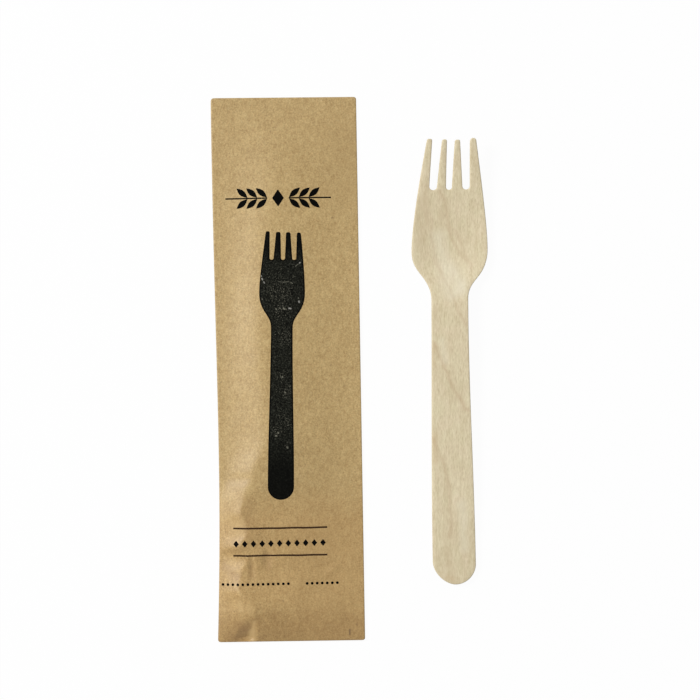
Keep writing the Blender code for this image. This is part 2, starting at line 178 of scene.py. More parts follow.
def noiseField(tree, places, scale, detail=3.0, roughness=0.6, distortion=0.0):
    made = addNode(tree, "ShaderNodeTexNoise", {
        "Vector": places, "Scale": scale, "Detail": detail,
        "Roughness": roughness, "Distortion": distortion})
    return made.outputs["Fac"]


def stretched(tree, field, low, high, toLow=0.0, toHigh=1.0):
    made = addNode(tree, "ShaderNodeMapRange", {
        "Value": field, "From Min": low, "From Max": high, "To Min": toLow, "To Max": toHigh})
    return made.outputs["Result"]


def mathOf(tree, operation, first, second):
    made = addNode(tree, "ShaderNodeMath", {0: first, 1: second}, operation=operation)
    return made.outputs["Value"]


def mixed(tree, share, first, second, blend="MIX"):
    made = addNode(tree, "ShaderNodeMix", {}, data_type="RGBA", blend_type=blend)
    for key, value in ((0, share), (6, first), (7, second)):
        if isinstance(value, bpy.types.NodeSocket):
            tree.links.new(value, made.inputs[key])
        else:
            made.inputs[key].default_value = value
    return made.outputs[2]


def streaked(tree, places, start, end, width):     # 1 on a straight line, 0 at the width from it
    start, end = Vector(start).to_3d(), Vector(end).to_3d()
    along = end - start
    away = addNode(tree, "ShaderNodeVectorMath", {0: places, 1: start}, operation="SUBTRACT")
    flat = addNode(tree, "ShaderNodeVectorMath", {
        0: away.outputs["Vector"], 1: (1, 1, 0)}, operation="MULTIPLY").outputs["Vector"]
    dot = addNode(tree, "ShaderNodeVectorMath", {0: flat, 1: along}, operation="DOT_PRODUCT")
    share = stretched(tree, dot.outputs["Value"], 0, along.length_squared)
    nearest = addNode(tree, "ShaderNodeVectorMath", {0: along, "Scale": share}, operation="SCALE")
    gap = addNode(tree, "ShaderNodeVectorMath", {
        0: flat, 1: nearest.outputs["Vector"]}, operation="DISTANCE")
    return stretched(tree, gap.outputs["Value"], width, 0.0)


def bumped(tree, height, distance, strength=1.0, under=None):
    made = addNode(tree, "ShaderNodeBump", {
        "Height": height, "Distance": distance, "Strength": strength})
    if under:
        tree.links.new(under, made.inputs["Normal"])
    return made.outputs["Normal"]


# Putting a finished bmesh into the scene

def seatedIn(bm, turn, box):     # turns a piece, then gives its box the middle and foot of another
    bmesh.ops.transform(bm, matrix=Matrix.Rotation(turn, 4, "Z"), verts=bm.verts)
    low = Vector([min(v.co[i] for v in bm.verts) for i in range(3)])
    high = Vector([max(v.co[i] for v in bm.verts) for i in range(3)])
    shift = (box[0] + box[1] - low - high) / 2
    shift.z = box[0].z - low.z
    bmesh.ops.translate(bm, verts=bm.verts, vec=shift)
    return Matrix.Translation(shift) @ Matrix.Rotation(turn, 4, "Z")


def addPiece(name, bm, material, sharp=40):
    mesh = bpy.data.meshes.new(name)
    bm.to_mesh(mesh)
    bm.free()
    mesh.materials.append(material)
    mesh.shade_smooth()
    mesh.set_sharp_from_angle(angle=radians(sharp))
    piece = bpy.data.objects.new(name, mesh)
    bpy.context.scene.collection.objects.link(piece)
    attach(piece, "root")
    return piece


# The loose fork

fork = {
    "length": 0.1592,
    "handleWidth": 0.0154,
    "neckWidth": 0.0131,
    "neckStart": 0.0572,
    "headWidth": 0.0272,
    "widestAt": 0.0398,
    "tipSpan": 0.0174,
    "slotDepth": 0.0181,
    "slotRoots": (0.0026, 0.0021, 0.0027),
    "slotMouths": (0.0035, 0.0028, 0.0035),
    "rootCentres": (0.0057, -0.0005, -0.0062),
    "mouthCentres": (0.0048, -0.0002, -0.0051),
    "tines": ((0.0, 0.0011), (0.0005, 0.0007), (0.0003, 0.0007), (0.0, 0.0007)),     # drop and rounding
    "fullRound": 0.98,
    "shoulderPulls": (0.43, 0.50),
    "bellyPull": 0.22,
    "tineFlare": 1.3,
    "endPoint": 1.08,           # 1 is a half circle
    "veneer": 0.0018,
    "edgeRound": 0.00035,
    "drift": 0.0021,            # sideways spring of the tips
    "driftFrom": 0.106,
    "driftPower": 2.3,
    "shoulderShift": 0.0004,    # the shoulders sit a little to the right of the head's middle
    "shoulderAt": 0.0487,
    "shoulderReach": 0.0035,
    "neckLift": 0.0028,
    "neckCrestAt": 0.062,
    "bowlAt": 0.041,
    "tipLift": 0.00529,
    "tipSlope": 0.16,
    "dish": 0.0008,
    "dishReach": 0.030,
    "cut": 0.0015,              # spacing of the cuts that let the veneer bend
    "endLean": 0.09,            # the handle's end runs lower on its right
    "endReach": 0.024,
    "waviness": 0.00004,
    "wavePitch": 0.009,
    "turn": radians(1.25),
}


def forkLift(x, y):     # height of the pressed veneer's underside
    neckY = fork["length"] - fork["neckCrestAt"]
    bowlY = fork["length"] - fork["bowlAt"]
    knots = [(0, 0, fork["neckLift"] / neckY), (neckY, fork["neckLift"], 0), (bowlY, 0, 0),
             (fork["length"], fork["tipLift"], fork["tipSlope"])]
    y = min(max(y, 0), fork["length"])
    for (a, low, lowSlope), (b, high, highSlope) in zip(knots, knots[1:]):
        if y <= b:
            break
    t = (y - a) / (b - a)
    along = between(low, high, t * t * (3 - 2 * t))
    along += (b - a) * (lowSlope * t * (1 - t) ** 2 - highSlope * t * t * (1 - t))
    fade = eased(1 - abs(y - bowlY) / fork["dishReach"])
    return along + fork["dish"] * fade * (2 * x / fork["headWidth"]) ** 2


def forkDrift(y):
    sprung = max(0.0, y - fork["length"] + fork["driftFrom"]) / fork["driftFrom"]
    near = (y - fork["length"] + fork["shoulderAt"]) / fork["shoulderReach"]
    return fork["drift"] * sprung ** fork["driftPower"] + fork["shoulderShift"] * exp(-near * near)


def cutAcross(bm, direction, places):
    for place in places:
        bmesh.ops.bisect_plane(
            bm, geom=bm.verts[:] + bm.edges[:] + bm.faces[:], dist=1e-7,
            plane_co=Vector(direction) * place, plane_no=direction)


# Growth lines in the wood as (points that the line runs through, width, strength), in the scene's frame
growthLines = [
    (((0.0325, 0.0639), (0.0347, 0.0575), (0.0366, 0.0474), (0.0418, 0.0388)), 0.0010, 0.38),
    (((0.0377, 0.0500), (0.0436, 0.0370)), 0.0010, 0.34),
    (((0.0294, 0.0540), (0.0304, 0.0420), (0.0322, 0.0375)), 0.0009, 0.34),
    (((0.0271, 0.0660), (0.0279, 0.0520)), 0.0012, 0.30),
    (((0.0300, 0.0400), (0.0330, 0.0340), (0.0362, 0.0285), (0.0396, 0.0196), (0.0416, 0.0165)),
     0.0009, 0.38),
    (((0.0299, 0.0098), (0.0347, -0.0003), (0.0389, -0.0099), (0.0425, -0.0142)), 0.0010, 0.46),
    (((0.0299, -0.0243), (0.0347, -0.0361), (0.0363, -0.0450), (0.0360, -0.0600)), 0.0011, 0.42),
    (((0.0352, -0.0640), (0.0368, -0.0740)), 0.0018, 0.24),
]

woodTones = {
    "streak": (0.59, 0.46, 0.28, 1),
    "pale": (0.94, 0.88, 0.7, 1),
    "edge": (0.62, 0.45, 0.25, 1),
    "pin": (0.38, 0.29, 0.17, 1),
}

# Broad streaks and marks in the wood as (start, end, width, strength, tone), in the scene's frame
woodMarks = [
    ((0.0256, 0.0600), (0.0260, 0.0460), 0.0044, 0.34, "streak"),
    ((0.0330, 0.0640), (0.0338, 0.0500), 0.0026, 0.16, "streak"),
    ((0.0322, 0.0470), (0.0352, 0.0280), 0.0044, 0.30, "pale"),
    ((0.0370, 0.0360), (0.0405, 0.0290), 0.0040, 0.34, "pale"),
    ((0.0398, 0.0300), (0.0375, 0.0260), 0.0026, 0.26, "pale"),
    ((0.0360, 0.0100), (0.0366, 0.0070), 0.0016, 0.20, "streak"),
    ((0.0301, 0.0090), (0.0303, 0.0010), 0.0013, 0.30, "edge"),
    ((0.0330, 0.0105), (0.0342, 0.0030), 0.0018, 0.24, "pale"),
    ((0.0305, -0.0230), (0.0307, -0.0330), 0.0013, 0.34, "edge"),
    ((0.0404, -0.0480), (0.0412, -0.0640), 0.0026, 0.30, "pale"),
    ((0.0350, -0.0744), (0.0372, -0.0752), 0.0014, 0.34, "edge"),
    ((0.0365, -0.0600), (0.0368, -0.0790), 0.0120, 0.16, "streak"),
    ((0.0384, -0.0768), (0.0389, -0.0769), 0.0005, 0.70, "pin"),
    ((0.0372, 0.0234), (0.0373, 0.0226), 0.0005, 0.26, "pin"),
]


def birchVeneer():
    made, tree, shader = newMaterial("birchVeneer")
    fibres = noiseField(tree, objectPlaces(tree, (1, 0.20, 1), -fork["turn"]), 2500, 3.0, 0.7)
    strands = noiseField(tree, objectPlaces(tree, (1, 0.07, 1), -fork["turn"]), 1100, 3.0, 0.5, 0.3)
    pores = noiseField(tree, objectPlaces(tree, (1, 0.16, 1), -fork["turn"]), 2400, 1.0, 0.4)
    ripple = noiseField(tree, objectPlaces(tree, (1, 0.45, 1)), 1250, 2.0, 0.6)
    flames = noiseField(tree, objectPlaces(tree, (1, 0.16, 1), radians(-24)), 260, 2.0, 0.5, 0.6)
    clouds = noiseField(tree, objectPlaces(tree, (1, 0.5, 1)), 150, 2.0, 0.5)
    tone = mathOf(tree, "ADD", stretched(tree, fibres, 0.3, 0.7, -0.38, 0.38),
                  stretched(tree, strands, 0.3, 0.7, -0.15, 0.15))
    tone = mathOf(tree, "ADD", tone, stretched(tree, ripple, 0.3, 0.7, -0.07, 0.07))
    tone = mathOf(tree, "ADD", tone, stretched(tree, clouds, 0.3, 0.7, 0.43, 0.57))
    wood = mixed(tree, tone, (0.640, 0.533, 0.336, 1), (0.915, 0.806, 0.585, 1))
    tint = mixed(tree, noiseField(tree, objectPlaces(tree, (1, 0.5, 1)), 330, 1.0),
                 (0.97, 1.0, 0.94, 1), (1.0, 0.965, 0.96, 1))
    wood = mixed(tree, 1.0, wood, tint, "MULTIPLY")
    wood = mixed(tree, stretched(tree, flames, 0.56, 0.70, 0.0, 0.20), wood, (0.58, 0.45, 0.27, 1))
    wood = mixed(tree, stretched(tree, pores, 0.66, 0.74, 0.0, 0.30), wood, (0.48, 0.36, 0.21, 1))
    wander = addNode(tree, "ShaderNodeTexNoise", {
        "Vector": objectPlaces(tree), "Scale": 260, "Detail": 2.0})
    shift = addNode(tree, "ShaderNodeVectorMath", {
        0: wander.outputs["Color"], 1: (0.0024, 0.0024, 0), 2: objectPlaces(tree)},
        operation="MULTIPLY_ADD")
    shift = addNode(tree, "ShaderNodeVectorMath", {
        0: shift.outputs["Vector"], 1: (0.0012, 0.0012, 0)}, operation="SUBTRACT").outputs["Vector"]
    for points, width, strength in growthLines:
        nearest = [streaked(tree, shift, start, end, width) for start, end in zip(points, points[1:])]
        while len(nearest) > 1:
            nearest.append(mathOf(tree, "MAXIMUM", nearest.pop(0), nearest.pop(0)))
        wood = mixed(tree, mathOf(tree, "MULTIPLY", nearest[0], strength), wood, (0.57, 0.42, 0.25, 1))
    for start, end, width, strength, kind in woodMarks:
        share = mathOf(tree, "MULTIPLY", streaked(tree, shift, start, end, width), strength)
        wood = mixed(tree, share, wood, woodTones[kind])
    facing = addNode(tree, "ShaderNodeNewGeometry").outputs["True Normal"]
    upward = mathOf(tree, "ABSOLUTE", addNode(
        tree, "ShaderNodeSeparateXYZ", {0: facing}).outputs["Z"], 0.0)
    cutEdge = stretched(tree, upward, 0.75, 0.25, 0.0, 0.40)
    wood = mixed(tree, cutEdge, wood, (0.45, 0.34, 0.20, 1))
    tree.links.new(wood, shader.inputs["Base Color"])
    shader.inputs["Roughness"].default_value = 0.52
    shader.inputs["Specular IOR Level"].default_value = 0.5
    normal = bumped(tree, fibres, 0.00006, 0.7)
    normal = bumped(tree, pores, 0.00005, 0.4, normal)
    tree.links.new(normal, shader.inputs["Normal"])
    return made


def buildFork():
    bm = bmesh.new()
    outline = forkOutline(fork, 18, 6)
    outline = [(x, y - fork["endLean"] * x * eased(1 - y / fork["endReach"])) for x, y in outline]
    blank = bm.faces.new([bm.verts.new((x, y, 0)) for x, y in outline])
    raised = bmesh.ops.extrude_face_region(bm, geom=[blank])["geom"]
    bmesh.ops.translate(
        bm, verts=[g for g in raised if isinstance(g, bmesh.types.BMVert)], vec=(0, 0, fork["veneer"]))
    bmesh.ops.recalc_face_normals(bm, faces=bm.faces)
    rims = [e for e in bm.edges if abs(e.verts[0].co.z - e.verts[1].co.z) < fork["veneer"] / 2]
    bmesh.ops.bevel(bm, geom=rims, offset=fork["edgeRound"], offset_type="OFFSET", segments=3,
                    profile=0.5, affect="EDGES", clamp_overlap=True, material=-1)
    rows = round(fork["length"] / fork["cut"])
    columns = round(fork["headWidth"] / 2 / fork["cut"])
    cutAcross(bm, (0, 1, 0), [fork["length"] * i / rows for i in range(1, rows)])
    cutAcross(bm, (1, 0, 0), [fork["cut"] * i for i in range(1 - columns, columns)])
    bmesh.ops.triangulate(bm, faces=bm.faces, quad_method="BEAUTY", ngon_method="BEAUTY")
    for vert in bm.verts:
        x, y, z = vert.co
        wave = noise.noise(Vector((x, y, 0)) / fork["wavePitch"]) * fork["waviness"]
        vert.co = (x + forkDrift(y), y, z + forkLift(x, y) + wave)
    seatedIn(bm, fork["turn"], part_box("wooden_fork"))
    piece = addPiece("birchFork", bm, birchVeneer(), 50)
    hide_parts("wooden_fork")


buildFork()
print("loose fork pressed")


# The sealed sleeve: folds, and the form of the fork inside it

sleeve = {
    "length": 0.1947,
    "topWidth": 0.0521,
    "bottomWidth": 0.0527,
    "topSkew": 0.0003,
    "waist": 0.0012,
    "waistPower": 1.87,
    "turn": radians(0.87),
    "ply": 0.00012,
    "rim": 0.0005,
    "foldBulge": 0.00016,
    "cell": 0.0006,
    "cornerRounds": {(1, 1): 0.0009, (-1, 1): 0.0011, (-1, -1): 0.0010, (1, -1): 0.0009},
    "seamWidth": 0.012,
    "seamShift": 0.004,
    "flap": 0.013,
    "cockle": 0.00006,
    "cocklePitch": 0.0085,
    "cockleFade": 0.004,             # the cockle and lumps fade out this near a fold
    "creaseFade": 0.0012,
    "wallCuts": 3,
    "plyCell": 0.002,
    "plyRise": 1.3,                  # in plies, so that the glued ply meets the back
    "seamInset": 0.0006,
    "flapShift": (0.0004, 0.0002),
    "flapInset": 0.0016,
    "crestRound": 0.0006,
    "neckLeft": (0.9, 0.0, 1.5),     # slope at the fold, slope at the crest, power of the place
    "neckRight": (1.1, 0.5, 1.45),
    "headLeft": (0.9, 1.0, 1.0),
    "headRight": (0.6, 1.9, 1.0),
    "headEnds": (0.050, 0.058),      # the head's section gives way to the neck's between these
}

# Height of the crest, and its place across, by distance up from the bottom edge
crestHeight = [(0.0, 0.0), (0.0054, 0.0023), (0.0143, 0.0039), (0.0250, 0.0031), (0.0341, 0.0037),
               (0.0400, 0.0040), (0.0450, 0.0038), (0.0555, 0.0038), (0.0720, 0.0044), (0.1065, 0.0038),
               (0.1366, 0.0031), (0.1523, 0.0025), (0.1670, 0.0018), (0.1800, 0.0009), (0.1945, 0.0)]
crestPlace = [(0.0, -0.0125), (0.0103, -0.0132), (0.0125, -0.0128), (0.0146, -0.0142),
              (0.0168, -0.0170), (0.0189, -0.0184), (0.0254, -0.0170), (0.0297, -0.0154),
              (0.0340, -0.0180), (0.0382, -0.0152), (0.0415, -0.0152), (0.0455, -0.0173),
              (0.0497, -0.0165), (0.0555, -0.0140), (0.0583, -0.0118), (0.0612, -0.0113),
              (0.0655, -0.0090), (0.0700, -0.0066), (0.0763, -0.0057), (0.1065, -0.0081),
              (0.1366, -0.0058), (0.1516, -0.0042), (0.1667, -0.0025), (0.1945, -0.0015)]

# Creases as (start, end, rise, reach on the left of their run, reach on its right, whether the end is
# open), and lumps as (place, rise, reach), in the sleeve's frame
creases = [
    ((-0.0290, -0.0668), (-0.0130, -0.0648), -0.00042, 0.0024, 0.0060, False),
    ((-0.0138, -0.0640), (-0.0134, -0.0765), -0.00050, 0.0013, 0.0016, False),
    ((-0.0084, -0.0630), (-0.0086, -0.0722), -0.00070, 0.0028, 0.0018, False),
    ((-0.0130, -0.0886), (-0.0160, -0.0980), -0.00160, 0.0034, 0.0050, True),
    ((0.0120, -0.0745), (0.0184, -0.0692), 0.00030, 0.0016, 0.0020, False),
    ((0.0185, -0.0700), (0.0262, -0.0712), 0.00026, 0.0016, 0.0012, False),
]
lumps = [
    ((-0.0170, -0.0840), 0.00040, 0.0046),
    ((0.0030, -0.0745), 0.00030, 0.0060),
    ((0.0160, -0.0840), 0.00025, 0.0050),
]


def foldPlaces(up):
    down = 1 - min(max(up / sleeve["length"], 0), 1)
    half = between(sleeve["topWidth"], sleeve["bottomWidth"], down) / 2
    return -half + sleeve["waist"] * sin(pi * down ** sleeve["waistPower"]), half


def creased(x, y, start, end, rise, leftReach, rightReach, openEnd):
    run = Vector(end) - Vector(start)
    away = Vector((x, y)) - Vector(start)
    along = away.dot(run) / run.length_squared
    if not 0 < along < 1:
        return 0.0
    swell = sin(pi / 2 * along) if openEnd else sin(pi * along)     # fades out at its closed ends
    side = run.cross(away) / run.length                             # above 0 on the left of the run
    reach = (leftReach if side > 0 else rightReach) * (0.3 + 0.7 * swell)
    return rise * swell * max(0.0, 1.04 - hypot(side / reach, 0.2)) if abs(side) < reach else 0.0


def flank(share, startSlope, endSlope, power):     # one side's rise, 0 at the fold to 1 at the crest
    t = min(max(share, 0), 1) ** power
    return t * t * (3 - 2 * t) + startSlope * t * (1 - t) ** 2 - endSlope * t * t * (1 - t)


def frontHeight(x, y):
    up = y + sleeve["length"] / 2
    left, right = foldPlaces(up)
    crest, place = lineThrough(crestHeight, up), lineThrough(crestPlace, up)
    neck = eased((up - sleeve["headEnds"][0]) / (sleeve["headEnds"][1] - sleeve["headEnds"][0]))
    fromLeft, fromRight = (x - left) / (place - left), (right - x) / (right - place)
    riseLeft = crest * between(flank(fromLeft, *sleeve["headLeft"]),
                               flank(fromLeft, *sleeve["neckLeft"]), neck)
    riseRight = crest * between(flank(fromRight, *sleeve["headRight"]),
                                flank(fromRight, *sleeve["neckRight"]), neck)
    soft = min(sleeve["crestRound"], 0.2 * crest)
    height = (riseLeft + riseRight - hypot(riseLeft - riseRight, soft)) / 2
    inset = min(x - left, right - x, up, sleeve["length"] - up)
    fade = eased(inset / sleeve["cockleFade"])
    height += sleeve["cockle"] * fade * noise.fractal(
        Vector((x, y, 0)) / sleeve["cocklePitch"], 1.0, 2.0, 3)
    for crease in creases:
        height += creased(x, y, *crease) * eased(inset / sleeve["creaseFade"])
    for (px, py), rise, reach in lumps:
        away = hypot(x - px, y - py) / reach
        if away < 3:
            height += rise * exp(-away * away) * fade
    return sleeve["ply"] + sleeve["rim"] + height


def backHeight(x, y):     # the back lifts a little off the table away from its seam and flap
    up = y + sleeve["length"] / 2
    left, right = foldPlaces(up)
    clear = min(abs(x - sleeve["seamShift"]) - sleeve["seamWidth"] / 2, x - left, right - x,
                up - sleeve["flap"], sleeve["length"] - up)
    wave = 1 + noise.noise(Vector((x, y, 0.5)) / sleeve["cocklePitch"])
    return sleeve["ply"] + sleeve["cockle"] * wave * eased(clear / sleeve["cockleFade"])


def roundedCorner(x, y, left, right):     # draws a square corner in onto its quarter circle
    half = sleeve["length"] / 2
    sideX = 1 if x > (left + right) / 2 else -1
    sideY = 1 if y > 0 else -1
    radius = sleeve["cornerRounds"][(sideX, sideY)]
    edgeX = right if sideX > 0 else left
    outX = 1 - (edgeX - x) * sideX / radius
    outY = 1 - (half - y * sideY) / radius
    if outX <= 0 or outY <= 0:
        return x, y
    draw = max(outX, outY) / hypot(outX, outY)
    return (edgeX - sideX * radius * (1 - outX * draw),
            sideY * (half - radius * (1 - outY * draw)))


# Bands across the sleeve where the paper turns darker, partly its own tone and partly painted shade, as
# (start, where it is full, share, tint)
toneAndPaintedShadeBands = [
    (0.0620, 0.0780, 0.16, (0.76, 0.72, 0.66, 1)),
    (-0.0400, -0.0550, 1.0, (0.985, 0.925, 0.865, 1)),
    (-0.0850, -0.0895, 0.75, (0.77, 0.72, 0.63, 1)),
]

# Tones of the paper's flecks and dash, and of the painted shade and painted highlights laid on it
fleckAndPaintedShadingTones = {
    "dash": (0.09, 0.045, 0.015, 1),
    "fleck": (0.14, 0.08, 0.03, 1),
    "broadPaintedShade": (0.39, 0.255, 0.092, 1),
    "shade": (0.3, 0.172, 0.062, 1),
    "light": (0.64, 0.47, 0.22, 1),
}

# Flecks, a dash and two thin light scratches in the paper, together with painted shade and painted
# highlights, as (start, end, width, strength, tone), in the scene's frame
paperFlecksAndPaintedShading = [
    ((0.0003, -0.0931), (0.0003, -0.0947), 0.0005, 1.00, "dash"),
    ((0.0027, -0.0912), (0.0029, -0.0914), 0.0004, 0.60, "fleck"),
    ((-0.0062, 0.0542), (-0.0059, 0.0545), 0.0004, 0.50, "fleck"),
    ((-0.0066, 0.0015), (-0.0064, 0.0017), 0.0004, 0.50, "fleck"),
    ((-0.0016, -0.0060), (-0.0014, -0.0059), 0.0004, 0.45, "fleck"),
    ((-0.0460, -0.0046), (-0.0457, -0.0045), 0.0004, 0.50, "fleck"),
    ((-0.0236, -0.0825), (-0.0235, -0.0827), 0.0005, 0.50, "fleck"),
    ((-0.0140, 0.0742), (-0.0072, 0.0700), 0.0004, 0.30, "light"),
    ((-0.0078, -0.0913), (-0.0050, -0.0918), 0.0004, 0.45, "light"),
    # The marks from here on are painted: the dark ones are painted shade on facets, along a crease and
    # over broad areas, and the light ones are painted highlights on bright facets
    ((-0.0410, -0.0962), (-0.0378, -0.0928), 0.0042, 0.42, "shade"),
    ((-0.0394, -0.0912), (-0.0374, -0.0925), 0.0028, 0.25, "shade"),
    ((-0.0362, -0.0480), (-0.0357, -0.0590), 0.0042, 0.20, "shade"),
    # two broad marks of painted shade over the sleeve's right side, near the top and toward the bottom
    ((-0.0020, 0.0830), (0.0000, 0.0640), 0.0150, 0.28, "broadPaintedShade"),
    ((-0.0080, -0.0520), (-0.0050, -0.0880), 0.0260, 0.34, "broadPaintedShade"),
    ((-0.0428, -0.0535), (-0.0404, -0.0572), 0.0030, 0.32, "light"),
    ((-0.0388, -0.0545), (-0.0385, -0.0585), 0.0022, 0.42, "light"),
    ((-0.0458, -0.0465), (-0.0458, -0.0525), 0.0024, 0.35, "light"),
    ((-0.0390, -0.0830), (-0.0384, -0.0862), 0.0020, 0.40, "light"),
    ((-0.0440, -0.0710), (-0.0402, -0.0742), 0.0026, 0.34, "shade"),
    ((-0.0425, -0.0408), (-0.0390, -0.0418), 0.0022, 0.20, "shade"),
    ((-0.0356, -0.0846), (-0.0352, -0.0868), 0.0020, 0.30, "light"),
    ((-0.0354, -0.0975), (-0.0352, -0.0940), 0.0016, 1.00, "light"),
    ((-0.0343, -0.0975), (-0.0343, -0.0938), 0.0016, 1.00, "light"),
    ((-0.0345, -0.0935), (-0.0338, -0.0902), 0.0010, 0.80, "light"),
    ((-0.0352, -0.0680), (-0.0350, -0.0740), 0.0016, 0.30, "shade"),
    ((-0.0290, -0.0662), (-0.0287, -0.0708), 0.0020, 0.35, "shade"),
    ((-0.0460, -0.0650), (-0.0372, -0.0642), 0.0016, 0.16, "shade"),
]


def kraftPaper():
    made, tree, shader = newMaterial("kraftPaper")
    flat = objectPlaces(tree, (1, 1, 1), -sleeve["turn"])
    running = objectPlaces(tree, (1, 0.5, 1), -sleeve["turn"])
    grain = noiseField(tree, flat, 1700, 3.0, 0.75)
    fibres = noiseField(tree, running, 1000, 3.0, 0.6, 0.8)
    mottle = noiseField(tree, flat, 230, 3.0, 0.55)
    clouds = noiseField(tree, flat, 45, 2.0, 0.5)
    specks = noiseField(tree, flat, 1500, 1.0, 0.3)
    tone = mathOf(tree, "ADD", stretched(tree, grain, 0.3, 0.7, -0.46, 0.46),
                  stretched(tree, fibres, 0.3, 0.7, -0.24, 0.24))
    tone = mathOf(tree, "ADD", tone, stretched(tree, mottle, 0.3, 0.7, -0.09, 0.09))
    tone = mathOf(tree, "ADD", tone, stretched(tree, clouds, 0.3, 0.7, 0.45, 0.55))
    paper = mixed(tree, tone, (0.354, 0.219, 0.070, 1), (0.637, 0.456, 0.195, 1))
    tint = mixed(tree, noiseField(tree, running, 1300, 2.0), (1.03, 0.98, 0.94, 1), (0.97, 1.02, 1.06, 1))
    paper = mixed(tree, 1.0, paper, tint, "MULTIPLY")
    paper = mixed(tree, stretched(tree, specks, 0.70, 0.78, 0.0, 0.5), paper, (0.25, 0.15, 0.055, 1))
    paper = mixed(tree, stretched(tree, specks, 0.28, 0.20, 0.0, 0.4), paper, (0.70, 0.56, 0.32, 1))
    places = objectPlaces(tree)
    # lays on the flecks, the dash and the scratches, and the painted shade and painted highlights
    for start, end, width, strength, kind in paperFlecksAndPaintedShading:
        share = mathOf(tree, "MULTIPLY", streaked(tree, places, start, end, width), strength)
        paper = mixed(tree, share, paper, fleckAndPaintedShadingTones[kind])
    down = addNode(tree, "ShaderNodeSeparateXYZ", {0: flat}).outputs["Y"]
    wavy = mathOf(tree, "ADD", down, stretched(tree, mottle, 0.3, 0.7, -0.0015, 0.0015))
    # the bands darken the paper, partly as painted shade
    for start, full, share, tint in toneAndPaintedShadeBands:
        paper = mixed(tree, stretched(tree, wavy, start, full, 0.0, share), paper,
                      mixed(tree, 1.0, paper, tint, "MULTIPLY"))
    tree.links.new(paper, shader.inputs["Base Color"])
    shader.inputs["Roughness"].default_value = 0.52
    shader.inputs["Specular IOR Level"].default_value = 0.7
    normal = bumped(tree, grain, 0.00005, 0.6)
    normal = bumped(tree, mottle, 0.00014, 0.6, normal)
    tree.links.new(normal, shader.inputs["Normal"])
    return made


kraft = kraftPaper()


def buildSleeve():
    across = round(sleeve["bottomWidth"] / sleeve["cell"])
    along = round(sleeve["length"] / sleeve["cell"])
    bm = bmesh.new()
    bmesh.ops.create_grid(bm, x_segments=across, y_segments=along, size=0.5)
    raised = bmesh.ops.extrude_face_region(bm, geom=bm.faces[:])["geom"]
    bmesh.ops.translate(
        bm, verts=[g for g in raised if isinstance(g, bmesh.types.BMVert)], vec=(0, 0, 1))
    walls = [e for e in bm.edges if abs(e.verts[0].co.z - e.verts[1].co.z) > 0.5]
    bmesh.ops.subdivide_edges(bm, edges=walls, cuts=sleeve["wallCuts"])
    for vert in bm.verts:
        u, v, level = vert.co.x + 0.5, vert.co.y + 0.5, vert.co.z
        left, right = foldPlaces(v * sleeve["length"])
        x, y = roundedCorner(between(left, right, u), (v - 0.5) * sleeve["length"], left, right)
        low, high = backHeight(x, y), frontHeight(x, y)
        bulge = sleeve["foldBulge"] * (sin(pi * level) - 1)
        if u in (0, 1):
            x += bulge * (u * 2 - 1)
        if v in (0, 1):
            y += bulge * (v * 2 - 1)
        vert.co = (x, y - sleeve["topSkew"] * (u - 0.5) * v ** 3, between(low, high, level))
    bmesh.ops.recalc_face_normals(bm, faces=bm.faces)
    matrix = seatedIn(bm, sleeve["turn"], (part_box("paper_sleeve")[0] + Vector((0, 0, sleeve["ply"])),
                                           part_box("paper_sleeve")[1]))
    piece = addPiece("kraftSleeve", bm, kraft, 60)
    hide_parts("paper_sleeve")
    return matrix


def buildPly(name, centre, width, length, matrix):     # a ply glued on the back, down to the table
    bm = bmesh.new()
    across, along = round(width / sleeve["plyCell"]), round(length / sleeve["plyCell"])
    bmesh.ops.create_grid(bm, x_segments=across, y_segments=along, size=0.5)
    raised = bmesh.ops.extrude_face_region(bm, geom=bm.faces[:])["geom"]
    bmesh.ops.translate(
        bm, verts=[g for g in raised if isinstance(g, bmesh.types.BMVert)],
        vec=(0, 0, sleeve["ply"] * sleeve["plyRise"]))
    bmesh.ops.scale(bm, verts=bm.verts, vec=(width, length, 1))
    bmesh.ops.translate(bm, verts=bm.verts, vec=(*centre, 0))
    bmesh.ops.recalc_face_normals(bm, faces=bm.faces)
    bmesh.ops.transform(bm, matrix=matrix, verts=bm.verts)
    lowest = min(v.co.z for v in bm.verts)
    bmesh.ops.translate(bm, verts=bm.verts, vec=(0, 0, -lowest))
    addPiece(name, bm, kraft)


sleeveMatrix = buildSleeve()
flapMiddle = (sleeve["flap"] - sleeve["length"]) / 2
buildPly("backSeam", (sleeve["seamShift"], sleeve["flap"] / 2), sleeve["seamWidth"],
         sleeve["length"] - sleeve["flap"] - sleeve["seamInset"], sleeveMatrix)
buildPly("bottomFlap", (sleeve["flapShift"][0], flapMiddle + sleeve["flapShift"][1]),
         sleeve["topWidth"] - sleeve["flapInset"], sleeve["flap"], sleeveMatrix)
print("sleeve folded and sealed")


# Print on the front

